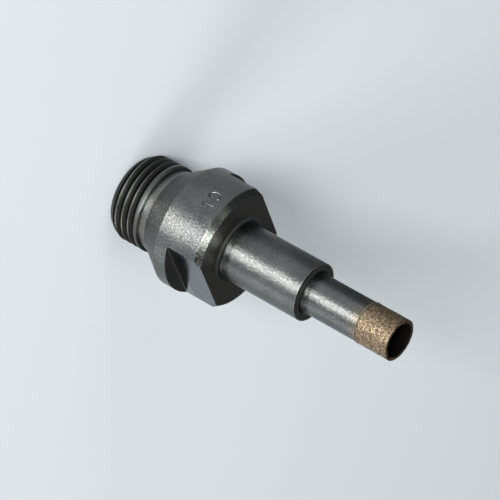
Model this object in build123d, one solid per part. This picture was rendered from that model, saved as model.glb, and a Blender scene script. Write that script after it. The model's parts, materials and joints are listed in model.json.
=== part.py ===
from build123d import *
import math
import os

"""Diamond core bit, 10 mm, with a G 1/2 pipe thread.

A steel body turned from one bar carries the thread, a flange with two milled
spanner flats, a stepped-down shank and a thin core tube. A sintered diamond
crown is butt-brazed to the end of the tube. Water comes in at the thread end and
the glass or stone core passes up inside, so the whole bit is hollow.

Frame: millimetres, +Z along the bit from the thread end to the cutting tip,
origin at the centre of the thread's end face, spanner flats facing +Y and -Y.
The bit stands on its thread end.
"""

# ---- Driving dimensions, mm ------------------------------------------------
total_length = 75.0

# G 1/2 parallel pipe thread, Whitworth form, right-handed
inches = 25.4
threads_per_inch = 14
thread_pitch = inches / threads_per_inch
thread_major_d = 20.955
thread_depth = 0.640327 * thread_pitch
thread_flank_angle = 55 / 2
thread_root_width = 0.2                       # flat left by the tool's nose
thread_lead_in = 2.2                          # length of the chamfer at the end
thread_end_d = 18.1
thread_crest_end = 8.7
thread_grooves_below = 1                      # grooves under the one that is placed
thread_grooves_above = 2                      # and over it, where the thread runs out
thread_groove_height = 3.2                    # height of that groove's middle

# Narrow relief, taper collar, cone and flange
relief_d = 19.0
relief_middle = 8.85
collar_start = 9.0
collar_start_d = 19.4
collar_end = 11.1
collar_end_d = 20.6
cone_end = 17.5
flange_d = 29.0
flange_face = 30.0
front_chamfer_length = 1.5
front_chamfer_depth = 1.0

# Two milled spanner flats, open to the front face
across_flats = 22.2                           # 7/8 inch spanner
flat_length = 9.2
flat_corner_r = 0.3                           # corner left by the cutter

# Stepped shank and core tube, each with a turned root fillet
shank_d = 13.9
shank_end = 51.2
shank_root_r = 1.5
tube_d = 9.65
tube_root_r = 1.2
quarter_circle_handle = 0.5523                # of the radius, for a Bezier

# Diamond crown and the braze that holds it
crown_d = 10.0
crown_bore_d = 8.0
crown_length = 8.5
crown_edge_break = 0.1                        # small chamfer on both rim edges
braze_gap = 0.15
braze_bead = 0.2                              # how far the bead creeps down the tube

# Water bore from the thread end, and the core passage that it opens into
water_bore_d = 12.0
water_bore_depth = 24.0
drill_point_angle = 118.0
core_passage_d = 8.4
bore_mouth_chamfer = 0.5

# How far the cutters reach past the metal
tool_clearance = 0.3
cutter_overrun = 1.0

# ---- Worked-out stations ----------------------------------------------------
crown_start = total_length - crown_length
tube_end = crown_start - braze_gap
flat_start = flange_face - flat_length
drill_point_length = (water_bore_d - core_passage_d) / 2 / math.tan(
    math.radians(drill_point_angle / 2)
)


def circle_edges_at(shape, height, diameter, within=0.02):
    """Circular edges of one diameter, centred on the bit's axis at one height."""
    return [
        edge
        for edge in shape.edges().filter_by(GeomType.CIRCLE)
        if abs(edge.arc_center.Z - height) < within
        and abs(edge.radius - diameter / 2) < within
    ]


def root_curve(wall_r, face_z, radius):
    """The turned root where a face meets the wall above it: a quarter circle.

    One Bezier takes half the mesh facets that an arc's torus does.
    """
    handle = radius * quarter_circle_handle
    return Bezier(
        (wall_r + radius, face_z),
        (wall_r + radius - handle, face_z),
        (wall_r, face_z + radius - handle),
        (wall_r, face_z + radius),
    )


def turned_outside():
    """The lathe work: one half-profile turned about the bit's axis."""
    shank_r = shank_d / 2
    tube_r = tube_d / 2
    with BuildPart() as blank:
        with BuildSketch(Plane.XZ):
            with BuildLine():
                Polyline(
                    (0, 0),
                    (thread_end_d / 2, 0),
                    (thread_major_d / 2, thread_lead_in),
                    (thread_major_d / 2, thread_crest_end),
                    (relief_d / 2, relief_middle),
                    (collar_start_d / 2, collar_start),
                    (collar_end_d / 2, collar_end),
                    (flange_d / 2, cone_end),
                    (flange_d / 2, flange_face - front_chamfer_length),
                    (flange_d / 2 - front_chamfer_depth, flange_face),
                    (shank_r + shank_root_r, flange_face),
                )
                root_curve(shank_r, flange_face, shank_root_r)
                Polyline(
                    (shank_r, flange_face + shank_root_r),
                    (shank_r, shank_end),
                    (tube_r + tube_root_r, shank_end),
                )
                root_curve(tube_r, shank_end, tube_root_r)
                Polyline(
                    (tube_r, shank_end + tube_root_r),
                    (tube_r, tube_end),
                    (0, tube_end),
                    (0, 0),
                )
            make_face()
        revolve(axis=Axis.Z)
    return blank.part


def thread_grooves():
    """The thread's V grooves at its true pitch, depth and angle.

    They are parallel rings: the thread's lead, 1.8 mm in a turn, is left out, so
    that every crest is a round wall at the major diameter.
    """
    root_r = thread_major_d / 2 - thread_depth
    tool_depth = thread_depth + tool_clearance
    half_root = thread_root_width / 2
    half_top = half_root + tool_depth * math.tan(math.radians(thread_flank_angle))
    with BuildPart() as grooves:
        with BuildSketch(Plane.XZ):
            for turn in range(-thread_grooves_below, thread_grooves_above + 1):
                middle = thread_groove_height + turn * thread_pitch
                with BuildLine():
                    Polyline(
                        (root_r, middle - half_root),
                        (root_r + tool_depth, middle - half_top),
                        (root_r + tool_depth, middle + half_top),
                        (root_r, middle + half_root),
                        close=True,
                    )
                make_face()
        revolve(axis=Axis.Z)
    return grooves.part


def drilled_inside():
    """What the drills take out: water bore, its cone point and the core passage."""
    with BuildPart() as drill:
        with BuildSketch(Plane.XZ):
            with BuildLine():
                Polyline(
                    (0, 0),
                    (water_bore_d / 2 + bore_mouth_chamfer, 0),
                    (water_bore_d / 2, bore_mouth_chamfer),
                    (water_bore_d / 2, water_bore_depth),
                    (core_passage_d / 2, water_bore_depth + drill_point_length),
                    (core_passage_d / 2, tube_end),
                    (0, tube_end),
                    close=True,
                )
            make_face()
        revolve(axis=Axis.Z)
    return drill.part


def flat_cutter(side):
    """One milling pass: a block with a rounded inner corner, open to the front."""
    chip_depth = flange_d - across_flats
    with BuildPart() as cutter:
        with Locations((0, side * across_flats / 2, flat_start)):
            Box(
                flange_d,
                chip_depth,
                flat_length + cutter_overrun,
                align=(Align.CENTER, Align.MIN if side > 0 else Align.MAX, Align.MIN),
            )
        corner = (
            cutter.edges()
            .filter_by(Axis.X)
            .sort_by(Axis.Z)[:2]
            .sort_by(Axis.Y, reverse=side < 0)[0]
        )
        fillet(corner, flat_corner_r)
    return cutter.part


def turned_body():
    """Body, shank and tube: turned, drilled through, threaded, then milled on both sides."""
    body = turned_outside() - drilled_inside() - thread_grooves()
    for side in (-1, 1):
        body = body - flat_cutter(side)
    return body


def diamond_crown():
    """Sintered ring of diamond grit in bronze, square-ended, rim edges broken."""
    with BuildPart() as crown:
        with Locations((0, 0, crown_start)):
            Cylinder(
                crown_d / 2,
                crown_length,
                align=(Align.CENTER, Align.CENTER, Align.MIN),
            )
            Cylinder(
                crown_bore_d / 2,
                crown_length,
                align=(Align.CENTER, Align.CENTER, Align.MIN),
                mode=Mode.SUBTRACT,
            )
        rim = circle_edges_at(crown.part, total_length, crown_d)
        rim += circle_edges_at(crown.part, total_length, crown_bore_d)
        chamfer(rim, crown_edge_break)
    return crown.part


def braze_seam():
    """Filler metal: a thin washer in the gap, with a bead round the tube's end."""
    with BuildPart() as seam:
        with BuildSketch(Plane.XZ):
            with BuildLine():
                Polyline(
                    (core_passage_d / 2, tube_end),
                    (tube_d / 2, tube_end),
                    (tube_d / 2, tube_end - braze_bead),
                    (crown_d / 2, crown_start),
                    (core_passage_d / 2, crown_start),
                    close=True,
                )
            make_face()
        revolve(axis=Axis.Z)
    return seam.part


os.makedirs("parts", exist_ok=True)
for name, make in (
    ("turned_body", turned_body),
    ("diamond_crown", diamond_crown),
    ("braze_seam", braze_seam),
):
    solid = make()
    solid.label = name
    export_step(solid, f"parts/{name}.step")
    print(f"{name}: {solid.volume:.1f} mm3, {len(solid.faces())} faces")
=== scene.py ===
# %% [markdown]
# # A diamond core bit, shaped, finished and lit
# The imported CAD model gives the exact sizes. This script adds what the eye looks for on the
# real tool: the turns of the pipe thread, the marks of the lathe and of the milling cutter, the
# stamped size number, the gritty crown, and a soft studio light.
#
# The frame is loaded first. Its nodes are the CAD solids, and each new piece hides the solid
# that it stands for.

# %% Load the frame
import json
import math

import bpy
from mathutils import Matrix, Vector

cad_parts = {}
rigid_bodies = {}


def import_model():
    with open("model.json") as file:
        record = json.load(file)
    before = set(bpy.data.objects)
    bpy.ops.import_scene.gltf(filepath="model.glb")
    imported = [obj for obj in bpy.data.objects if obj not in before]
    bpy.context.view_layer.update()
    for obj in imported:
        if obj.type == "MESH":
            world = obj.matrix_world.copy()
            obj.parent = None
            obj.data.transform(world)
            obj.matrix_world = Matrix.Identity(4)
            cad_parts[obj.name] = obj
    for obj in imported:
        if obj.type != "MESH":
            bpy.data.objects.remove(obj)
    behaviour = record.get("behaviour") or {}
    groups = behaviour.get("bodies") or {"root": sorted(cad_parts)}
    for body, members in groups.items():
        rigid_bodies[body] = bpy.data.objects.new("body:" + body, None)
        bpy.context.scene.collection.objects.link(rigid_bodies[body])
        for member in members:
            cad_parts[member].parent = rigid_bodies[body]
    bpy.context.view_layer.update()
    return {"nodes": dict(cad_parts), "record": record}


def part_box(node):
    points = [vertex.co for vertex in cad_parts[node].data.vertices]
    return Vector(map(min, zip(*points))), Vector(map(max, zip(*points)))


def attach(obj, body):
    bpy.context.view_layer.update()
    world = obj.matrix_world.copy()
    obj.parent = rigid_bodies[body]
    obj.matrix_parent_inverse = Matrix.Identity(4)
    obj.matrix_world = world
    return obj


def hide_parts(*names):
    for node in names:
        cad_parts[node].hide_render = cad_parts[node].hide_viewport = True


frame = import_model()
nodes = frame["nodes"]
MM = 0.001
print("nodes:", sorted(nodes))

# %% [markdown]
# ## Sizes
# A drawing has one source for each size. The main radii come from the mounts of the packed
# record and the lengths from the boxes of the nodes, so that nothing here drifts away from the
# solids. Only the small features that neither of them names are written out, in millimetres.

# %% Sizes that the frame knows
mounts = {mount["name"]: mount for mount in frame["record"]["mounts"]}
thread_r = mounts["machine_thread"]["dims"]["r_mm"]
water_r = mounts["water_bore"]["dims"]["r_mm"]
passage_r = mounts["core_passage"]["dims"]["r_mm"]
crown_bore_r = mounts["cutting_bore"]["dims"]["r_mm"]
flat_y = mounts["spanner_flat_back"]["pos_m"][1] / MM
body_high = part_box("turned_body")[1] / MM
crown_low, crown_high = (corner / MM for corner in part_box("diamond_crown"))
seam_low, seam_high = (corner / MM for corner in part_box("braze_seam"))
flange_r = body_high.x
tube_end = body_high.z
crown_r = crown_high.x
crown_start = crown_low.z
tip = crown_high.z
print(f"bit {tip:.1f} mm long, flange {2 * flange_r:.1f} mm, thread {2 * thread_r:.3f} mm")

# %% Sizes of the turned steps
lead_in = 2.2                                 # chamfer at the start of the thread
thread_end_r = 9.05
crest_end = 8.7                               # where the thread's crests stop
relief_r = 9.5
relief_middle = 8.85
collar_start = 9.0
collar_start_r = 9.7
collar_end = 11.1
collar_end_r = 10.3
cone_end = 17.5
face_z = 30.0                                 # the flange's front face
front_chamfer_length = 1.5
front_chamfer_depth = 1.0
flat_start = 20.8
shank_r = 6.95
shank_end = 51.2
shank_root_r = 1.5
tube_r = 4.825
tube_root_r = 1.2
water_depth = 24.0
mouth_chamfer = 0.5
drill_point_angle = 118
drill_point_length = (water_r - passage_r) / math.tan(math.radians(drill_point_angle / 2))
print(f"flats {2 * flat_y:.1f} mm apart, drill point {drill_point_length:.2f} mm long")

# %% [markdown]
# ## Turning the body
# The real body is turned from one bar: a profile is all that a lathe needs. Blender can do the
# same in three ways: a Screw modifier on a profile, the Spin tool, or a circle that is extruded
# and scaled from ring to ring. The last is used here, because every ring stays a clean loop of
# the same number of points, which later bevels and cuts need.
#
# An operator works on everything that is selected, and the loaded CAD nodes come in selected,
# so each job starts by deselecting all.


# %% Helpers for selecting and for modifiers
def deselect():
    """Leaves edit mode and selects nothing."""
    if bpy.context.object and bpy.context.object.mode != "OBJECT":
        bpy.ops.object.mode_set(mode="OBJECT")
    bpy.ops.object.select_all(action="DESELECT")


def pick(obj):
    """Makes one object selected and active."""
    deselect()
    obj.select_set(True)
    bpy.context.view_layer.objects.active = obj


def apply_modifier(obj, kind, settings):
    """Adds a modifier with its settings and applies it."""
    pick(obj)
    modifier = obj.modifiers.new(kind.lower(), kind)
    for name, value in settings.items():
        setattr(modifier, name, value)
    bpy.ops.object.modifier_apply(modifier=modifier.name)


def count_triangles(obj):
    return sum(len(face.vertices) - 2 for face in obj.data.polygons)


# %% The lathe
def lathe(name, outline, segments):
    """Turns a closed outline of (radius, height) points, in mm, about the bit's axis.

    A circle is added at the first point and extruded ring by ring through the others, and the
    last ring is bridged back to the first.
    """
    deselect()
    radius, height = outline[0]
    bpy.ops.mesh.primitive_circle_add(
        vertices=segments, radius=radius * MM, location=(0, 0, height * MM)
    )
    piece = bpy.context.object
    piece.name = name
    piece.data.name = name
    bpy.ops.object.transform_apply(location=True, rotation=True, scale=True)
    bpy.ops.object.mode_set(mode="EDIT")
    bpy.ops.mesh.select_all(action="SELECT")
    for next_radius, next_height in outline[1:]:
        bpy.ops.mesh.extrude_region_move()
        grow = next_radius / radius
        bpy.ops.transform.resize(value=(grow, grow, 1), center_override=(0, 0, height * MM))
        bpy.ops.transform.translate(value=(0, 0, (next_height - height) * MM))
        radius, height = next_radius, next_height
    bpy.ops.mesh.select_all(action="DESELECT")
    bpy.ops.mesh.select_mode(type="EDGE")
    bpy.ops.mesh.select_non_manifold(
        extend=False, use_wire=False, use_multi_face=False, use_verts=False
    )
    bpy.ops.mesh.bridge_edge_loops()
    bpy.ops.mesh.select_all(action="SELECT")
    bpy.ops.mesh.normals_make_consistent(inside=False)
    bpy.ops.object.mode_set(mode="OBJECT")
    return piece


def root_arc(wall_r, floor_z, radius, steps=10):
    """The turned root where a face meets the wall above it, as points on a quarter circle."""
    return [
        (wall_r + radius * (1 - math.sin(a)), floor_z + radius * (1 - math.cos(a)))
        for a in (math.pi / 2 * i / steps for i in range(steps + 1))
    ]


# %% The turned blank
around = 192
body_outline = [
    (water_r + mouth_chamfer, 0),
    (thread_end_r, 0),
    (thread_r, lead_in),
    (thread_r, crest_end),
    (relief_r, relief_middle),
    (collar_start_r, collar_start),
    (collar_end_r, collar_end),
    (flange_r, cone_end),
    (flange_r, face_z - front_chamfer_length),
    (flange_r - front_chamfer_depth, face_z),
    *root_arc(shank_r, face_z, shank_root_r),
    (shank_r, shank_end),
    *root_arc(tube_r, shank_end, tube_root_r),
    (tube_r, tube_end),
    (passage_r, tube_end),
    (passage_r, water_depth + drill_point_length),
    (water_r, water_depth),
    (water_r, mouth_chamfer),
]
body = lathe("core_bit_body", body_outline, around)
print("turned blank:", count_triangles(body), "triangles")

# %% [markdown]
# ## Breaking the edges
# No turned edge is perfectly sharp: the file or the tool's nose leaves a tiny round that
# catches a line of light. A Bevel modifier limited by angle rounds only the real corners.

# %% Edge rounding
edge_round = 0.07
least_corner = math.radians(20)               # flatter corners stay as they are
apply_modifier(body, "BEVEL", {
    "width": edge_round * MM, "segments": 2, "limit_method": "ANGLE",
    "angle_limit": least_corner, "use_clamp_overlap": True,
})
print("with broken edges:", count_triangles(body), "triangles")

# %% [markdown]
# ## Milling the spanner flats
# Two flats let a 7/8 inch spanner hold the bit. A milling cutter cuts them after the turning,
# and its rounded corner leaves a small radius where the flat meets its shoulder. A block with
# one rounded edge, taken away with a Boolean, does just what the cutter does.


# %% The cut
def cut(obj, cutter):
    """Takes one shape away from another, and removes the cutter."""
    apply_modifier(obj, "BOOLEAN", {
        "operation": "DIFFERENCE", "solver": "EXACT", "object": cutter,
    })
    bpy.data.objects.remove(cutter)


flat_corner_r = 0.3
block_width, block_depth = 40.0, 8.0
overrun = 2                                   # the block reaches past the front face
block_length = face_z - flat_start + overrun
near = 0.01                                   # finds the corner's edge
for side in (-1, 1):
    deselect()
    bpy.ops.mesh.primitive_cube_add(size=1, location=(
        0, side * (flat_y + block_depth / 2) * MM, (flat_start + block_length / 2) * MM,
    ))
    cutter = bpy.context.object
    cutter.scale = (block_width * MM, block_depth * MM, block_length * MM)
    bpy.ops.object.transform_apply(location=True, rotation=True, scale=True)
    bpy.ops.object.mode_set(mode="EDIT")
    bpy.ops.mesh.select_all(action="DESELECT")
    bpy.ops.object.mode_set(mode="OBJECT")
    for edge in cutter.data.edges:
        ends = [cutter.data.vertices[i].co / MM for i in edge.vertices]
        edge.select = all(
            abs(p.z - flat_start) < near and abs(p.y - side * flat_y) < near for p in ends
        )
    bpy.ops.object.mode_set(mode="EDIT")
    bpy.ops.mesh.select_mode(type="EDGE")
    bpy.ops.mesh.bevel(offset=flat_corner_r * MM, segments=4, affect="EDGES")
    bpy.ops.object.mode_set(mode="OBJECT")
    cut(body, cutter)
print("with flats:", count_triangles(body), "triangles")

# %% [markdown]
# ## Cutting the thread
# G 1/2 is a pipe thread: 14 turns to the inch, flanks 55 degrees apart, crests and roots
# rounded, right-handed. On the lathe a pointed tool travels along the turning bar and backs out
# at the end. The same path is made here with a Screw modifier on the tool's outline. The last
# half turn is then pushed outwards ring by ring, so that the groove runs out as it does behind
# a real tool.

# %% The groove's shape
inch = 25.4
turns_per_inch = 14
pitch = inch / turns_per_inch
thread_depth = 0.640327 * pitch               # Whitworth form
root_r = thread_r - thread_depth
flank_angle = 55
flank = math.tan(math.radians(flank_angle / 2))
sharp_r = root_r - 0.960491 * pitch / 6       # where the two flanks would meet
root_half_width = 0.12                        # flat left by the tool's nose
root_round = 0.12                             # its corners end this far out
crest_round = 0.2                             # the crest's rounding starts this far in
crest_spread = 0.9                            # how wide that rounding opens
least_crest = 0.02                            # half of what is left of a crest
tool_proud = 0.05                             # the rounding runs on past the crest
tool_reach = 0.4                              # and the tool itself ends here


def groove_half_width(radius):
    """Half the width of the groove at one radius, with the crest's rounding added on top."""
    straight = (radius - sharp_r) * flank
    above = max(0.0, radius - (thread_r - crest_round))
    return min(straight + above**2 / crest_round * crest_spread, pitch / 2 - least_crest)


steps_out = [
    root_r + root_round, thread_r - crest_round, thread_r - crest_round / 2, thread_r,
    thread_r + tool_proud,
]
half = [(root_r, root_half_width)] + [(r, groove_half_width(r)) for r in steps_out]
half.append((thread_r + tool_reach, half[-1][1]))
tool_outline = half + [(r, -w) for r, w in reversed(half)]
print("thread pitch", round(pitch, 3), "mm, depth", round(thread_depth, 3), "mm")

# %% The tool's path
camera_side_angle = math.radians(-158.8)      # the side that faces the camera
groove_at = 3.2                               # height of one groove's middle on that side
turns_below = 2.4                             # groove turns under that groove
turns_above = 2.5                             # and over it
runout_turns = 0.5                            # then the tool backs out of the metal
turn_steps = 128
full_turns = turns_below + turns_above
turns = full_turns + runout_turns
steps = round(turns * turn_steps)
mesh = bpy.data.meshes.new("thread_cutter")
mesh.from_pydata(
    [(r * MM, 0, w * MM) for r, w in tool_outline],
    [(i, (i + 1) % len(tool_outline)) for i in range(len(tool_outline))],
    [],
)
cutter = bpy.data.objects.new("thread_cutter", mesh)
bpy.context.scene.collection.objects.link(cutter)
apply_modifier(cutter, "SCREW", {
    "axis": "Z", "angle": 2 * math.pi * turns, "screw_offset": pitch * turns * MM,
    "steps": steps, "render_steps": steps, "iterations": 1, "use_smooth_shade": False,
})
clear_of_metal = thread_depth + 0.2
points = cutter.data.vertices
for ring in range(round(full_turns * turn_steps), steps + 1):
    lift = (ring / turn_steps - full_turns) / runout_turns * clear_of_metal
    for point in points[ring * len(tool_outline) : (ring + 1) * len(tool_outline)]:
        radius = math.hypot(point.co.x, point.co.y)
        point.co.x *= 1 + lift * MM / radius
        point.co.y *= 1 + lift * MM / radius

# %% Close the tool's path, place it and cut
bpy.ops.object.mode_set(mode="EDIT")
bpy.ops.mesh.select_all(action="SELECT")
bpy.ops.mesh.fill_holes(sides=0)
bpy.ops.mesh.select_all(action="SELECT")
bpy.ops.mesh.normals_make_consistent(inside=False)
bpy.ops.object.mode_set(mode="OBJECT")
rings_apart = 4
first = cutter.data.vertices[0].co
later = cutter.data.vertices[len(tool_outline) * rings_apart].co
climb = (later.z - first.z) / MM
print(f"climbs {climb:.3f} mm in {math.degrees(math.atan2(later.y, later.x)):.1f} degrees")
cutter.rotation_euler.z = camera_side_angle - turns_below * 2 * math.pi
cutter.location.z = (groove_at - turns_below * pitch) * MM
pick(cutter)
bpy.ops.object.transform_apply(location=True, rotation=True, scale=True)
cut(body, cutter)
print("with thread:", count_triangles(body), "triangles")

# %% [markdown]
# ## Stamping the size number
# The maker hits a steel punch against the flange, so the number 10, the diameter in
# millimetres that the bit drills, is a set of shallow rounded strokes. Each stroke is a curve
# that follows the round flange. The curve's bevel gives it a round section, and as a mesh it is
# cut out of the body.

# %% The strokes
stamp_r = 0.26
stamp_z = 24.9
stamp_turned = -27.8                          # degrees round from the camera's side
digit_height = 2.9
digit_width = 1.9
digit_step = 2.5
one_flag = (0.75, 0.85)                       # the 1's flag, sideways and down
nought_points = 36


def stroke(name, points, closed):
    """A round groove cutter through points (round the rim, along the axis), in mm."""
    deselect()
    curve = bpy.data.curves.new(name, "CURVE")
    curve.dimensions = "3D"
    curve.bevel_depth = stamp_r * MM
    curve.bevel_resolution = 3
    curve.use_fill_caps = True
    spline = curve.splines.new("POLY")
    spline.points.add(len(points) - 1)
    for point, (along, height) in zip(spline.points, points):
        angle = camera_side_angle + math.radians(stamp_turned) - along / flange_r
        x, y = flange_r * math.cos(angle), flange_r * math.sin(angle)
        point.co = (x * MM, y * MM, (stamp_z - height) * MM, 1)
    spline.use_cyclic_u = closed
    obj = bpy.data.objects.new(name, curve)
    bpy.context.scene.collection.objects.link(obj)
    pick(obj)
    bpy.ops.object.convert(target="MESH")
    return bpy.context.object


top = digit_height / 2
one_at, nought_at = -digit_step / 2, digit_step / 2
one = [(one_at - one_flag[0], top - one_flag[1]), (one_at, top), (one_at, -top)]
nought = [
    (nought_at + digit_width / 2 * math.cos(a), top * math.sin(a))
    for a in (2 * math.pi * i / nought_points for i in range(nought_points))
]
for name, points, closed in (("nought", nought, True), ("one", one, False)):
    cut(body, stroke(name, points, closed))
print("with number:", count_triangles(body), "triangles")

# %% [markdown]
# ## The crown
# The cutting ring is pressed and sintered from bronze powder and diamond grit, so its surface
# is rough all over: grains stand out and pores are left between them. It starts as a turned
# ring with closely spaced loops, and Displace modifiers push its points in by a few hundredths
# of a millimetre. Real relief shows in the outline, which a bump in the material can't do.


# %% The gritty ring
def wall_rings(radius, from_z, to_z, step):
    """Points up a straight wall, one ring every step or so."""
    count = max(1, round(abs(to_z - from_z) / step))
    return [(radius, from_z + (to_z - from_z) * i / count) for i in range(1, count)]


grit_step = 0.16                              # loops this close carry the grains
bore_step = 0.35
edge_break = 0.1
edge_bulge = 0.03                             # the broken edge is a little round
back_edge = 0.05                              # small chamfer next to the solder
rim_steps = 5
crown_around = 200
rim_width = crown_r - crown_bore_r - 2 * edge_break
crown_outline = [
    (crown_r, crown_start + back_edge),
    *wall_rings(crown_r, crown_start + back_edge, tip - edge_break, grit_step),
    (crown_r, tip - edge_break),
    (crown_r - edge_bulge, tip - edge_bulge),
    (crown_r - edge_break, tip),
    *[(crown_r - edge_break - rim_width * i / rim_steps, tip) for i in range(1, rim_steps)],
    (crown_bore_r + edge_break, tip),
    (crown_bore_r + edge_bulge, tip - edge_bulge),
    (crown_bore_r, tip - edge_break),
    *wall_rings(crown_bore_r, tip - edge_break, crown_start, bore_step),
    (crown_bore_r, crown_start),
    (crown_r - back_edge, crown_start),
]
crown = lathe("crown", crown_outline, crown_around)
# Each layer of relief is (pattern, size of a lump, depth), in mm: waves, grains and pores.
grains = (("CLOUDS", 1.1, 0.05), ("VORONOI", 0.42, 0.09), ("CLOUDS", 0.16, 0.035))
for kind, size_mm, depth_mm in grains:
    texture = bpy.data.textures.new(f"grit_{kind.lower()}_{size_mm}", kind)
    texture.noise_scale = size_mm * MM
    apply_modifier(crown, "DISPLACE", {
        "texture": texture, "texture_coords": "LOCAL", "strength": depth_mm * MM,
        "mid_level": 1.0, "direction": "NORMAL",
    })
print("crown:", count_triangles(crown), "triangles")

# %% [markdown]
# ## The solder bead
# The crown is brazed to the tube's end. The filler metal is a thin washer in the joint, and a
# little of it creeps down the outside as a hollow bead. It is turned like the body, with a
# quarter arc for the bead.

# %% The bead
bead_length = seam_high.z - seam_low.z
arc_steps = 6
bead_arc = [
    (
        tube_r + (seam_high.x - tube_r) * math.sin(a),
        seam_high.z - bead_length * math.cos(a),
    )
    for a in (math.pi / 2 * i / arc_steps for i in range(1, arc_steps))
]
bead = lathe("solder_bead", [
    (passage_r, tube_end),
    (tube_r, tube_end),
    (tube_r, seam_low.z),
    *bead_arc,
    (seam_high.x, seam_high.z),
    (passage_r, seam_high.z),
], around)
print("bead:", count_triangles(bead), "triangles")

# %% [markdown]
# ## Colours and nodes
# A maker writes colours as sRGB hex, as on a paint card. Shaders want linear light, so one
# function turns one into the other. A second one adds a node with its settings and links: its
# inputs come as a dictionary by socket, or as a tuple in the order of the sockets. A Map Range
# node then reads (value, from low, from high, to low, to high), and a colour Mix node has its
# factor at 0 and its two colours at 6 and 7.


# %% Helpers for materials
def linear(hex_colour):
    """sRGB hex such as '#808080' to a linear RGBA tuple."""
    parts = [int(hex_colour[i : i + 2], 16) / 255 for i in (1, 3, 5)]
    return tuple(
        c / 12.92 if c <= 0.04045 else ((c + 0.055) / 1.055) ** 2.4 for c in parts
    ) + (1.0,)


def add(tree, kind, inputs=(), settings=None):
    """Adds a node, sets its properties, then sets or links its inputs."""
    node = tree.nodes.new(kind)
    for name, value in (settings or {}).items():
        setattr(node, name, value)
    pairs = inputs.items() if isinstance(inputs, dict) else enumerate(inputs)
    for socket, value in pairs:
        if isinstance(value, bpy.types.NodeSocket):
            tree.links.new(value, node.inputs[socket])
        else:
            node.inputs[socket].default_value = value
    return node


def new_material(name):
    """An empty node material, its tree and its output node."""
    material = bpy.data.materials.new(name)
    material.use_nodes = True
    material.node_tree.nodes.clear()
    return material, material.node_tree, add(material.node_tree, "ShaderNodeOutputMaterial")


# %% [markdown]
# ## The marks of the lathe
# A lathe tool leaves fine grooves round the bar. They are stretched noise: the pattern is
# placed by distance from the axis and by height, where it is fine, and only slowly changes
# along the way round, where it is long. Object coordinates are in metres, so a Mapping node
# divides them by the real size of a mark.


# %% Lathe marks
def lathe_marks(tree, across_mm, around_mm):
    """Coordinates, height and radius in mm, and noise that runs round the bit."""
    coordinates = add(tree, "ShaderNodeTexCoord").outputs["Object"]
    place = add(tree, "ShaderNodeSeparateXYZ", (coordinates,))
    height_mm = add(tree, "ShaderNodeMath", (place.outputs["Z"], MM), {"operation": "DIVIDE"})
    flattened = add(
        tree, "ShaderNodeVectorMath", (coordinates, (1, 1, 0)), {"operation": "MULTIPLY"}
    )
    radius = add(tree, "ShaderNodeVectorMath", (flattened.outputs[0],), {"operation": "LENGTH"})
    radius_mm = add(
        tree, "ShaderNodeMath", (radius.outputs["Value"], MM), {"operation": "DIVIDE"}
    )
    path = add(tree, "ShaderNodeCombineXYZ", (
        radius.outputs["Value"], place.outputs["Z"], place.outputs["X"],
    ))
    stretched = add(tree, "ShaderNodeMapping", {
        "Vector": path.outputs[0],
        "Scale": (1 / (across_mm * MM), 1 / (across_mm * MM), 1 / (around_mm * MM)),
    })
    marks = add(tree, "ShaderNodeTexNoise", {
        "Vector": stretched.outputs[0], "Scale": 1.0, "Detail": 2.0, "Roughness": 0.6,
    })
    return coordinates, height_mm.outputs[0], radius_mm.outputs[0], marks.outputs["Fac"]


# %% [markdown]
# ## Turned carbon steel
# The walls are plain carbon steel, turned, oiled and left as they came off the lathe. Its
# grooves run round the bit, and such a surface spreads each highlight along the axis: that is
# the long soft streak that says "turned". The Principled shader does it with Anisotropic and a
# tangent that runs round Z. A blotchy oil film breaks the streak into speckles, and the last
# millimetres of the tube took a warm tint from the brazing. Other bands are painted light and
# shade: the cone is painted darker, painted shade in what it mirrors; a dark ring at the foot of
# the shank and of the tube is a painted shadow; the collar is painted lighter, a painted
# highlight; and the front chamfer is painted darker, painted shade that dims its highlight.
#
# The tool's real marks are about 0.1 mm apart and the speckles finer still, too fine to show,
# so all the steel finishes here draw them two to four times as coarse.

# %% Turned steel: patterns
mark_mm, mark_length_mm = 0.28, 7.0           # across and along a mark
blotch_mm, cloud_mm = 0.5, 6.0
turned, tree, out = new_material("turned_carbon_steel")
coordinates, height_mm, _, marks = lathe_marks(tree, mark_mm, mark_length_mm)
mottle = add(tree, "ShaderNodeTexNoise", {
    "Vector": coordinates, "Scale": 1 / (blotch_mm * MM), "Detail": 2.0, "Roughness": 0.6,
}).outputs["Fac"]
clouds = add(tree, "ShaderNodeTexNoise", {
    "Vector": coordinates, "Scale": 1 / (cloud_mm * MM), "Detail": 3.0, "Roughness": 0.6,
}).outputs["Fac"]
cloudy = add(tree, "ShaderNodeMapRange", (clouds, 0.35, 0.65, 0.0, 1.0)).outputs[0]
flecks = add(tree, "ShaderNodeMapRange", (mottle, 0.5, 0.68, 0.0, 0.16)).outputs[0]
pits = add(tree, "ShaderNodeMapRange", (mottle, 0.30, 0.45, 0.14, 0.0)).outputs[0]
print(f"turned steel: marks {mark_mm} mm apart, blotches {blotch_mm} mm")

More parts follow.
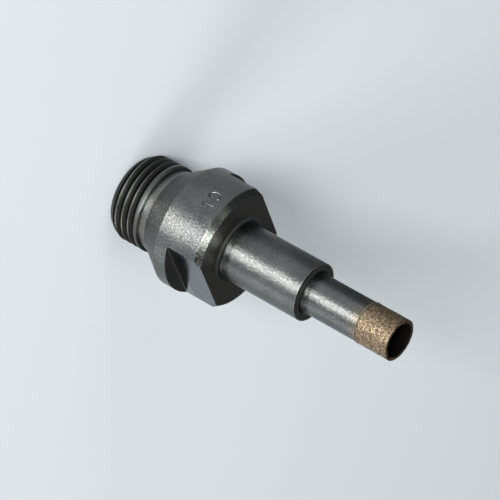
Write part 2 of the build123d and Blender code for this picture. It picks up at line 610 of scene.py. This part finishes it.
# %% Turned steel: bands along the bit
# Each band is (colour, strength, rises from, rises to, falls from, falls to), heights in mm.
below_all, above_all = -2.0, 200.0            # a band that starts or ends there has one end
foot_shade_reach = 0.3
chamfer_start = face_z - front_chamfer_length
tint_start, tint_full = 63.6, 66.4            # where the brazing's heat reached
bands = [
    # The cone is painted darker: painted shade that darkens what it mirrors.
    ("#4a4a48", 0.8, collar_end - 0.1, collar_end + 0.1, cone_end - 0.15, cone_end - 0.05),
    # The collar is painted lighter: a painted highlight.
    ("#8c8b88", 1.0, below_all, below_all + 1, collar_end - 0.25, collar_end - 0.05),
    # The front chamfer is painted darker: painted shade that dims its highlight.
    ("#575a54", 1.0, chamfer_start + 0.02, chamfer_start + 0.1, face_z + 0.1, face_z + 0.2),
    ("#8a7a5e", 0.5, tint_start, tint_full, above_all, above_all + 1),
]
# A dark ring at the foot of the shank and of the tube: a painted shadow in those corners.
for wall_foot in (face_z + shank_root_r, shank_end + tube_root_r):
    bands.append((
        "#2b2c2b", 0.75, wall_foot - 0.4, wall_foot - 0.3,
        wall_foot + foot_shade_reach, wall_foot + foot_shade_reach + 1.0,
    ))
colour = add(tree, "ShaderNodeMix", {0: cloudy, 6: linear("#636463"), 7: linear("#727371")}, {
    "data_type": "RGBA",
}).outputs[2]
for band_colour, strength, rise_from, rise_to, fall_from, fall_to in bands:
    rise = add(tree, "ShaderNodeMapRange", (height_mm, rise_from, rise_to, 0.0, strength))
    fall = add(tree, "ShaderNodeMapRange", (height_mm, fall_from, fall_to, 0.0, strength))
    amount = add(
        tree, "ShaderNodeMath", (rise.outputs[0], fall.outputs[0]), {"operation": "SUBTRACT"}
    )
    colour = add(tree, "ShaderNodeMix", {
        0: amount.outputs[0], 6: colour, 7: linear(band_colour),
    }, {"data_type": "RGBA"}).outputs[2]
for amount, spot_colour in ((flecks, "#b4b3ae"), (pits, "#3a3c3c")):
    colour = add(tree, "ShaderNodeMix", {0: amount, 6: colour, 7: linear(spot_colour)}, {
        "data_type": "RGBA",
    }).outputs[2]
print("turned steel:", len(bands), "bands")

# %% Turned steel: shader
faint_marks = add(tree, "ShaderNodeMath", (marks, 0.7), {"operation": "MULTIPLY"})
skin = add(tree, "ShaderNodeMath", (faint_marks.outputs[0], mottle), {"operation": "ADD"})
bump = add(tree, "ShaderNodeBump", {
    "Height": skin.outputs[0], "Strength": 1.0, "Distance": 0.05 * MM,
})
tangent = add(tree, "ShaderNodeTangent", (), {"direction_type": "RADIAL", "axis": "Z"})
shader = add(tree, "ShaderNodeBsdfPrincipled", {
    "Base Color": colour, "Metallic": 1.0,
    "Roughness": add(tree, "ShaderNodeMapRange", (mottle, 0.3, 0.7, 0.30, 0.44)).outputs[0],
    "Anisotropic": 0.8, "Anisotropic Rotation": 0.25, "Tangent": tangent.outputs[0],
    "Normal": bump.outputs[0],
})
tree.links.new(shader.outputs[0], out.inputs[0])
print(turned.name, "has", len(tree.nodes), "nodes")

# %% [markdown]
# ## Faced steel
# The flange's front face, the step and the two roots were faced: the tool moved towards the
# axis, so there is no smear along the bit and they look darker and smoother. The last half
# millimetre of each root is painted near black, a painted shadow that draws the dark ring round
# the foot of the shank, and the outer corner of the step is painted light, a painted highlight.

# %% Faced steel: patterns
faced, tree, out = new_material("faced_carbon_steel")
coordinates, height_mm, radius_mm, marks = lathe_marks(tree, 0.25, 7.0)
mottle = add(tree, "ShaderNodeTexNoise", {
    "Vector": coordinates, "Scale": 1 / (blotch_mm * MM), "Detail": 2.0, "Roughness": 0.6,
}).outputs["Fac"]
between_roots = 45.0                          # below it the wall is the shank, above it the tube
wall_r = add(
    tree, "ShaderNodeMapRange", (height_mm, between_roots, between_roots + 1, shank_r, tube_r)
)
from_wall = add(
    tree, "ShaderNodeMath", (radius_mm, wall_r.outputs[0]), {"operation": "SUBTRACT"}
)
# The last half millimetre of each root is painted near black: a painted shadow.
painted_root_shadow = add(tree, "ShaderNodeMapRange", (from_wall.outputs[0], 0.45, 0.85, 0.95, 0.0))
blotchy = add(tree, "ShaderNodeMapRange", (mottle, 0.3, 0.7, 0.0, 1.0))
metal = add(tree, "ShaderNodeMix", {
    0: blotchy.outputs[0], 6: linear("#5f6262"), 7: linear("#74736f"),
}, {"data_type": "RGBA"})
# The outer corner of the step is painted light: a painted highlight.
rim = add(tree, "ShaderNodeMapRange", (radius_mm, shank_r - 0.4, shank_r - 0.32, 0.0, 1.0))
on_step = add(
    tree, "ShaderNodeMapRange", (height_mm, shank_end - 0.7, shank_end - 0.2, 0.0, 1.0)
)
painted_rim_highlight = add(
    tree, "ShaderNodeMath", (rim.outputs[0], on_step.outputs[0]), {"operation": "MULTIPLY"}
)
colour = metal.outputs[2]
for amount, layer_colour in ((painted_root_shadow, "#1f2020"), (painted_rim_highlight, "#8c908e")):
    colour = add(tree, "ShaderNodeMix", {
        0: amount.outputs[0], 6: colour, 7: linear(layer_colour),
    }, {"data_type": "RGBA"}).outputs[2]
# This prints the painted shadow in the roots as grease, and the painted highlight on the step's
# rim as a rubbed rim.
print("faced steel: grease in two roots, one rubbed rim")

# %% Faced steel: shader
bump = add(tree, "ShaderNodeBump", {"Height": marks, "Strength": 1.0, "Distance": 0.006 * MM})
shader = add(tree, "ShaderNodeBsdfPrincipled", {
    "Base Color": colour, "Metallic": 1.0,
    "Roughness": add(tree, "ShaderNodeMapRange", (mottle, 0.3, 0.7, 0.32, 0.42)).outputs[0],
    "Normal": bump.outputs[0],
})
tree.links.new(shader.outputs[0], out.inputs[0])
print(faced.name, "has", len(tree.nodes), "nodes")

# %% [markdown]
# ## Milled steel
# The flats are brighter and cooler than the turned walls, with straight strokes along the bit.
# Next to the shoulder the flat mirrors the dark shoulder. A band there, with a ragged edge like a
# comb, is painted lighter, painted light that lifts that dark reflection, and the corner itself is
# painted as a thin light line, a painted highlight.

# %% Milled steel: patterns
milled, tree, out = new_material("milled_carbon_steel")
coordinates = add(tree, "ShaderNodeTexCoord").outputs["Object"]
place = add(tree, "ShaderNodeSeparateXYZ", (coordinates,))
height_mm = add(tree, "ShaderNodeMath", (place.outputs["Z"], MM), {"operation": "DIVIDE"})
patterns = {}
for name, across_mm, along_mm, detail in (("strokes", 0.3, 4.0, 2.0), ("comb", 0.55, 9.0, 1.0)):
    stretched = add(tree, "ShaderNodeMapping", {
        "Vector": coordinates,
        "Scale": (1 / (across_mm * MM), 1 / (across_mm * MM), 1 / (along_mm * MM)),
    })
    patterns[name] = add(tree, "ShaderNodeTexNoise", {
        "Vector": stretched.outputs[0], "Scale": 1.0, "Detail": detail,
    }).outputs["Fac"]
strokes = patterns["strokes"]
longest_tooth_mm = 3.4
teeth = add(
    tree, "ShaderNodeMath", (patterns["comb"], longest_tooth_mm), {"operation": "MULTIPLY"}
)
ragged = add(
    tree, "ShaderNodeMath", (height_mm.outputs[0], teeth.outputs[0]), {"operation": "SUBTRACT"}
)
print("milled steel: patterns", ", ".join(patterns))

# %% Milled steel: layers and shader
blotches = add(tree, "ShaderNodeTexNoise", {
    "Vector": coordinates, "Scale": 1 / (1.2 * MM), "Detail": 2.0, "Roughness": 0.6,
})
# Each layer is (where it shows, its colour), from the bottom up.
layers = [
    (add(tree, "ShaderNodeMapRange", (blotches.outputs["Fac"], 0.3, 0.7, 0.0, 1.0)), "#6b7175"),
    # A comb-edged band next to the shoulder is painted lighter: painted light that lifts the
    # shoulder's dark reflection.
    (add(tree, "ShaderNodeMapRange", (
        ragged.outputs[0], flat_start + 0.5, flat_start + 0.65, 1.0, 0.0,
    )), "#7e8482"),
    # A thin light line at the corner: a painted highlight.
    (add(tree, "ShaderNodeMapRange", (
        height_mm.outputs[0], flat_start + 0.24, flat_start + 0.3, 1.0, 0.0,
    )), "#a3a6a3"),
]
colour = linear("#5b6165")
for amount, layer_colour in layers:
    colour = add(tree, "ShaderNodeMix", {
        0: amount.outputs[0], 6: colour, 7: linear(layer_colour),
    }, {"data_type": "RGBA"}).outputs[2]
bump = add(tree, "ShaderNodeBump", {"Height": strokes, "Strength": 1.0, "Distance": 0.006 * MM})
shader = add(tree, "ShaderNodeBsdfPrincipled", {
    "Base Color": colour, "Metallic": 1.0,
    "Roughness": add(tree, "ShaderNodeMapRange", (strokes, 0.3, 0.7, 0.14, 0.20)).outputs[0],
    "Normal": bump.outputs[0],
})
tree.links.new(shader.outputs[0], out.inputs[0])
print(milled.name, "has", len(tree.nodes), "nodes")

# %% [markdown]
# ## Threaded steel
# The thread is drawn darker than the walls. Its roots are painted near black, painted shade for
# the shade deep in the grooves, and its crests are painted lighter, partly the wear of the
# machine's socket and partly a painted highlight for their glints. That lighter paint is patchy,
# and it fades to a fifth over the last turn. The distance from the axis tells roots from crests,
# because a thread has the same shape all the way round.

# %% Threaded steel
threaded, tree, out = new_material("threaded_carbon_steel")
coordinates, height_mm, radius_mm, marks = lathe_marks(tree, 0.2, 4.0)
mottle = add(tree, "ShaderNodeTexNoise", {
    "Vector": coordinates, "Scale": 1 / (0.4 * MM), "Detail": 2.0, "Roughness": 0.6,
}).outputs["Fac"]
# The crests are painted lighter: partly wear, partly a painted highlight for their glints.
crests = add(tree, "ShaderNodeMapRange", (radius_mm, thread_r - 0.3, thread_r - 0.12, 0.0, 1.0))
patchy = add(tree, "ShaderNodeMapRange", (mottle, 0.42, 0.58, 0.35, 1.0))
last_turn_start, last_turn = 6.6, 7.4         # height over which the wear fades
# That lighter crest paint fades to a fifth over the last turn.
crest_paint_fade = add(tree, "ShaderNodeMapRange", (height_mm, last_turn_start, last_turn, 1.0, 0.2))
wear_and_glint = crests.outputs[0]
for share in (patchy, crest_paint_fade):
    wear_and_glint = add(
        tree, "ShaderNodeMath", (wear_and_glint, share.outputs[0]), {"operation": "MULTIPLY"}
    ).outputs[0]
# The roots are painted near black: painted shade deep in the grooves.
painted_root_shade = add(tree, "ShaderNodeMapRange", (radius_mm, root_r + 0.05, root_r + 0.42, 1.0, 0.0))
colour = linear("#525755")
for amount, layer_colour in ((painted_root_shade.outputs[0], "#111312"), (wear_and_glint, "#7d766f")):
    colour = add(tree, "ShaderNodeMix", {0: amount, 6: colour, 7: linear(layer_colour)}, {
        "data_type": "RGBA",
    }).outputs[2]
skin = add(tree, "ShaderNodeMath", (marks, mottle), {"operation": "ADD"})
bump = add(tree, "ShaderNodeBump", {
    "Height": skin.outputs[0], "Strength": 1.0, "Distance": 0.008 * MM,
})
shader = add(tree, "ShaderNodeBsdfPrincipled", {
    "Base Color": colour, "Metallic": 1.0,
    "Roughness": add(tree, "ShaderNodeMapRange", (wear_and_glint, 0.0, 1.0, 0.42, 0.32)).outputs[0],
    "Normal": bump.outputs[0],
})
tree.links.new(shader.outputs[0], out.inputs[0])
print(threaded.name, "has", len(tree.nodes), "nodes")

# %% [markdown]
# ## Drilled steel
# Inside the water bore the drill leaves coarse rings, and a film of oil and stone dust dulls
# them, so the bore is dark and only half metallic.

# %% Drilled steel
drilled, tree, out = new_material("drilled_carbon_steel")
_, _, _, marks = lathe_marks(tree, 0.4, 5.0)
colour = add(tree, "ShaderNodeMix", {0: marks, 6: linear("#1b1a18"), 7: linear("#33302c")}, {
    "data_type": "RGBA",
})
bump = add(tree, "ShaderNodeBump", {"Height": marks, "Strength": 1.0, "Distance": 0.01 * MM})
shader = add(tree, "ShaderNodeBsdfPrincipled", {
    "Base Color": colour.outputs[2], "Metallic": 0.6, "Roughness": 0.6,
    "Normal": bump.outputs[0],
})
tree.links.new(shader.outputs[0], out.inputs[0])
print(drilled.name, "has", len(tree.nodes), "nodes")

# %% [markdown]
# ## Which finish goes where
# One object can carry several materials, and each face says which one it wears. Code picks the
# faces as a person would: bore faces look inwards, faces on a flat lie at its distance from the
# middle, faces that look up were faced, and all others were turned.

# %% Faces of each finish
finishes = [turned, faced, milled, threaded, drilled]
for finish in finishes:
    body.data.materials.append(finish)
counts = dict.fromkeys([finish.name for finish in finishes], 0)
slack = 0.05                                  # mm that a face's middle may lie off its surface
least_cut = 0.03                              # a stroke's faces lie this far under the wall
stroke_reach = 2.2                            # and this far from the number's middle
slight = 0.1                                  # a normal's share that is next to nothing
looks_up = 0.12
for face in body.data.polygons:
    x, y, z = face.center / MM
    normal = face.normal
    from_axis = math.hypot(x, y)
    inwards = normal.x * x + normal.y * y < -slight * from_axis
    at_number = abs(z - stamp_z) < stroke_reach and abs(y) < flat_y - slack
    in_stroke = at_number and from_axis < flange_r - least_cut
    beside_flat = flat_start - slack < z < face_z - slack
    on_flat = beside_flat and abs(abs(y) - flat_y) < flat_corner_r + slack
    on_chamfer = from_axis > flange_r - front_chamfer_depth + slack and z < face_z - slack
    if inwards and from_axis < water_r + mouth_chamfer + 2 * slack:
        use = drilled
    elif in_stroke:
        use = turned
    elif z < collar_start - slack:
        use = threaded
    elif on_flat and abs(normal.x) < slight:
        use = milled
    elif normal.z > looks_up and not on_chamfer:
        use = faced
    else:
        use = turned
    face.material_index = finishes.index(use)
    counts[use.name] += 1
print("faces of each finish:", counts)

# %% [markdown]
# ## Smooth shading
# Shade Smooth by Angle keeps real corners sharp. The narrow bevel faces would still bend the
# shading of the long walls beside them, and a Weighted Normal modifier lets the large faces
# win, so that the streak runs evenly from end to end.

# %% Shading, and what the body stands for
sharp_corner = math.radians(30)
pick(body)
bpy.ops.object.shade_smooth_by_angle(angle=sharp_corner)
apply_modifier(body, "WEIGHTED_NORMAL", {"mode": "FACE_AREA", "weight": 100, "keep_sharp": True})
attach(body, "root")
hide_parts("turned_body")
print("body:", count_triangles(body), "triangles, stands for turned_body")

# %% [markdown]
# ## Sintered bronze
# The crown's bond is bronze, brown rather than golden, because it is porous and full of dark
# grit. Two noises do it: blotches of 0.4 mm for lumps of bond, and specks of 0.2 mm for the
# diamonds and pores. Real grit is nearer 0.1 mm, too fine to show, so it is drawn coarser.

# %% Sintered bronze
lump_mm, speck_mm = 0.42, 0.22
bronze, tree, out = new_material("sintered_bronze")
coordinates = add(tree, "ShaderNodeTexCoord").outputs["Object"]
lumps = add(tree, "ShaderNodeTexNoise", {
    "Vector": coordinates, "Scale": 1 / (lump_mm * MM), "Detail": 3.0, "Roughness": 0.6,
}).outputs["Fac"]
specks = add(tree, "ShaderNodeTexNoise", {
    "Vector": coordinates, "Scale": 1 / (speck_mm * MM), "Detail": 1.0, "Roughness": 0.6,
}).outputs["Fac"]
bond = add(tree, "ShaderNodeMapRange", (lumps, 0.38, 0.62, 0.0, 1.0))
grit = add(tree, "ShaderNodeMapRange", (specks, 0.52, 0.62, 0.0, 0.85))
colour = linear("#54453a")
for amount, layer_colour in ((bond.outputs[0], "#a18e72"), (grit.outputs[0], "#33271c")):
    colour = add(tree, "ShaderNodeMix", {0: amount, 6: colour, 7: linear(layer_colour)}, {
        "data_type": "RGBA",
    }).outputs[2]
skin = add(tree, "ShaderNodeMath", (lumps, specks), {"operation": "SUBTRACT"})
bump = add(tree, "ShaderNodeBump", {
    "Height": skin.outputs[0], "Strength": 1.0, "Distance": 0.05 * MM,
})
shader = add(tree, "ShaderNodeBsdfPrincipled", {
    "Base Color": colour, "Metallic": 0.85,
    "Roughness": add(tree, "ShaderNodeMapRange", (lumps, 0.3, 0.7, 0.50, 0.33)).outputs[0],
    "Normal": bump.outputs[0],
})
tree.links.new(shader.outputs[0], out.inputs[0])
print(f"{bronze.name}: lumps {lump_mm} mm, specks {speck_mm} mm")

# %% [markdown]
# ## Painted shade in the crown's bore
# The inside of the crown is painted near black, matt and not metallic: painted shade for the
# deep bore, where little light reaches.

# %% Painted shade in the crown's bore
# The bore is painted near black: painted shade for the deep hole.
bore_shade, tree, out = new_material("rubbed_bronze_bore")
coordinates = add(tree, "ShaderNodeTexCoord").outputs["Object"]
smears = add(tree, "ShaderNodeTexNoise", {
    "Vector": coordinates, "Scale": 1 / (0.4 * MM), "Detail": 2.0, "Roughness": 0.6,
})
colour = add(tree, "ShaderNodeMix", {
    0: smears.outputs["Fac"], 6: linear("#030201"), 7: linear("#080504"),
}, {"data_type": "RGBA"})
shader = add(tree, "ShaderNodeBsdfPrincipled", {
    "Base Color": colour.outputs[2], "Metallic": 0.0, "Roughness": 0.9,
    "Specular IOR Level": 0.05,
})
tree.links.new(shader.outputs[0], out.inputs[0])
print(bore_shade.name, "has", len(tree.nodes), "nodes")

# %% [markdown]
# ## Silver solder
# Filler metal that has flowed sets smooth, with a skin that ripples a little. It is a pale
# yellow metal, dulled here by flux.

# %% Silver solder
filler, tree, out = new_material("silver_solder")
coordinates = add(tree, "ShaderNodeTexCoord").outputs["Object"]
flux, ripples = (
    add(tree, "ShaderNodeTexNoise", {
        "Vector": coordinates, "Scale": 1 / (size_mm * MM), "Detail": 2.0, "Roughness": 0.6,
    }).outputs["Fac"]
    for size_mm in (0.5, 0.3)
)
colour = add(tree, "ShaderNodeMix", {0: flux, 6: linear("#8a8370"), 7: linear("#b0a78f")}, {
    "data_type": "RGBA",
})
bump = add(tree, "ShaderNodeBump", {"Height": ripples, "Strength": 1.0, "Distance": 0.02 * MM})
shader = add(tree, "ShaderNodeBsdfPrincipled", {
    "Base Color": colour.outputs[2], "Metallic": 1.0, "Roughness": 0.3,
    "Normal": bump.outputs[0],
})
tree.links.new(shader.outputs[0], out.inputs[0])
print(filler.name, "has", len(tree.nodes), "nodes")

# %% [markdown]
# ## Finishing the crown and the bead
# The crown wears two finishes: faces of its inner wall look towards the axis and get the
# painted near-black shade, and all others keep the bronze. The angle for smooth shading is wider
# than on the body, because grains are lumps and not corners.

# %% Finishes of the crown and the bead
crown.data.materials.append(bronze)
crown.data.materials.append(bore_shade)
bore_reach = crown_bore_r + 0.4
bore_faces = [
    face for face in crown.data.polygons
    if face.normal.x * face.center.x + face.normal.y * face.center.y < 0
    and math.hypot(face.center.x, face.center.y) / MM < bore_reach
]
for face in bore_faces:
    face.material_index = 1
bead.data.materials.append(filler)
grain_corner = math.radians(40)
for piece, node, slot in (
    (crown, "diamond_crown", "sintered_bronze"), (bead, "braze_seam", "silver_solder"),
):
    pick(piece)
    bpy.ops.object.shade_smooth_by_angle(angle=grain_corner)
    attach(piece, "root")
    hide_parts(node)
print("rubbed faces of the crown:", len(bore_faces), "of", len(crown.data.polygons))

# %% [markdown]
# ## The hidden solids
# The three CAD solids stay in the file, hidden, for collision. They get the main finish of the
# piece that stands for each, so that nothing in the file is left grey. Their meshes' shapes
# aren't touched.

# %% Finishes of the hidden solids
for name, material in (("turned_body", turned), ("diamond_crown", bronze), ("braze_seam", filler)):
    mesh = nodes[name].data
    mesh.materials.clear()
    mesh.materials.append(material)
    print(name, "wears", material.name)

# %% [markdown]
# ## The floor
# A plain sheet of pale, slightly cool paper. A matt shader is enough, because the sheet only
# has to catch the soft shadow and to throw light back up at the steel.

# %% Floor
floor_half = 3.0
deselect()
bpy.ops.mesh.primitive_plane_add(size=2 * floor_half, location=(0, 0, 0))
floor = bpy.context.object
floor.name = "floor"
paper, tree, out = new_material("pale_matt_paper")
shader = add(tree, "ShaderNodeBsdfDiffuse", {"Color": linear("#dce4e8")})
tree.links.new(shader.outputs[0], out.inputs[0])
floor.data.materials.append(paper)
print("floor", 2 * floor_half, "m wide")

# %% [markdown]
# ## The camera
# The bit stands on its thread and is shown as if it lay, so the camera is rolled. Its place is
# given as a studio would note it: what it aims at, how far away and how high it is, how far
# round, and how far it is tipped. The focal length is in pixels of a square frame 500 pixels
# wide, and the lens in millimetres follows from it.

# %% Camera
camera_target = Vector((-0.474, 1.214, 32.251)) * MM
camera_distance = 757.0 * MM
camera_azimuth = math.radians(68.68)          # turned from -Y towards -X
camera_elevation = math.radians(28.79)
camera_roll = math.radians(-119.2)
image_width_px = 500
focal_px = 3435.3

towards_camera = Vector((
    -math.sin(camera_azimuth) * math.cos(camera_elevation),
    -math.cos(camera_azimuth) * math.cos(camera_elevation),
    math.sin(camera_elevation),
))
level_right = Vector((0, 0, 1)).cross(towards_camera).normalized()
level_up = towards_camera.cross(level_right)
image_up = level_up * math.cos(camera_roll) + level_right * math.sin(camera_roll)
image_right = image_up.cross(towards_camera)
camera_data = bpy.data.cameras.new("camera")
camera_data.sensor_width = 36
camera_data.lens = focal_px * camera_data.sensor_width / image_width_px
camera_data.clip_start = 0.05
camera_data.clip_end = 20
camera = bpy.data.objects.new("camera", camera_data)
bpy.context.scene.collection.objects.link(camera)
turn = Matrix((image_right, image_up, towards_camera)).transposed().to_4x4()
camera.matrix_world = Matrix.Translation(camera_target + towards_camera * camera_distance) @ turn
bpy.context.scene.camera = camera
print(f"lens {camera_data.lens:.1f} mm, {camera_distance:.3f} m away")

# %% [markdown]
# ## The lights
# Soft boxes on the camera's side, as on a product table. A low key draws the shadow away from
# the camera, and a low strip beside it draws the streak: a wall that stands upright mirrors
# what is low down, so light from high up would miss it. A weak side and a fill lift the walls
# to the left and right, a small one high in front reaches the faces that look up, and a wide
# soft box overhead makes the floor even.

# %% Lights
camera_side = Vector((towards_camera.x, towards_camera.y, 0)).normalized()
middle = Vector((0, 0, 0.035))


def place_round(azimuth_deg, elevation_deg, distance):
    """A point round the bit, its azimuth measured from the camera's side."""
    a = math.radians(azimuth_deg)
    e = math.radians(elevation_deg)
    flat = camera_side * math.cos(a) + level_right * math.sin(a)
    return middle + (flat * math.cos(e) + Vector((0, 0, math.sin(e)))) * distance


def softbox(name, azimuth, elevation, distance, width, height, watts):
    """A rectangular area light that looks at the middle of the bit."""
    data = bpy.data.lights.new(name, "AREA")
    data.shape = "RECTANGLE"
    data.size = width
    data.size_y = height
    data.energy = watts
    lamp = bpy.data.objects.new(name, data)
    bpy.context.scene.collection.objects.link(lamp)
    lamp.location = place_round(azimuth, elevation, distance)
    lamp.rotation_euler = (middle - lamp.location).to_track_quat("-Z", "Y").to_euler()


# name, azimuth and elevation in degrees, distance, width and height in metres, watts
softbox("key", 6, 20, 4.0, 0.68, 0.62, 165)
softbox("strip", 17, 6, 1.8, 0.8, 0.4, 46)
softbox("side", -42, 24, 1.6, 0.5, 0.4, 2.5)
softbox("fill", 78, 14, 1.6, 0.9, 0.5, 15.0)
softbox("top", 6, 62, 1.0, 0.4, 0.4, 1.0)
softbox("overhead", 0, 89, 1.1, 1.3, 1.3, 2.3)
lamps = [obj for obj in bpy.context.scene.objects if obj.type == "LIGHT"]
print(len(lamps), "soft boxes,", round(sum(lamp.data.energy for lamp in lamps), 1), "watts")

# %% [markdown]
# ## The flag
# Metal has no shade of its own, it only shows what is around it. So studios put a dark card, a
# flag, where a bright wall should turn dark. This one stands close to the bit, to its left and
# a little behind. Only reflections see it, so it throws no shadow on the floor.

# %% Flag
flag_width, flag_height = 0.16, 0.14
flag_azimuth, flag_distance, flag_lift = -112, 0.07, 0.036
deselect()
bpy.ops.mesh.primitive_plane_add(size=1)
flag = bpy.context.object
flag.name = "flag"
flag.scale = (flag_width, flag_height, 1)
flag.location = place_round(flag_azimuth, 0, flag_distance) + Vector((0, 0, flag_lift))
level_middle = Vector((0, 0, flag.location.z))
flag.rotation_euler = (level_middle - flag.location).to_track_quat("Z", "Y").to_euler()
felt, tree, out = new_material("grey_felt")
shader = add(tree, "ShaderNodeBsdfDiffuse", {"Color": linear("#46494b")})
tree.links.new(shader.outputs[0], out.inputs[0])
flag.data.materials.append(felt)
for ray in ("camera", "diffuse", "transmission", "shadow", "volume_scatter"):
    setattr(flag, f"visible_{ray}", False)
print("flag at", [round(value, 3) for value in flag.location])

# %% [markdown]
# ## World and colour
# A dim white world stands for the room's bounced light. The Standard view shows each colour
# about as it is written.

# %% World and colour
world_strength = 0.08
world = bpy.data.worlds.new("studio")
bpy.context.scene.world = world
world.use_nodes = True
background = world.node_tree.nodes["Background"]
background.inputs["Color"].default_value = linear("#ffffff")
background.inputs["Strength"].default_value = world_strength
bpy.context.scene.view_settings.view_transform = "Standard"
print("world strength", world_strength)
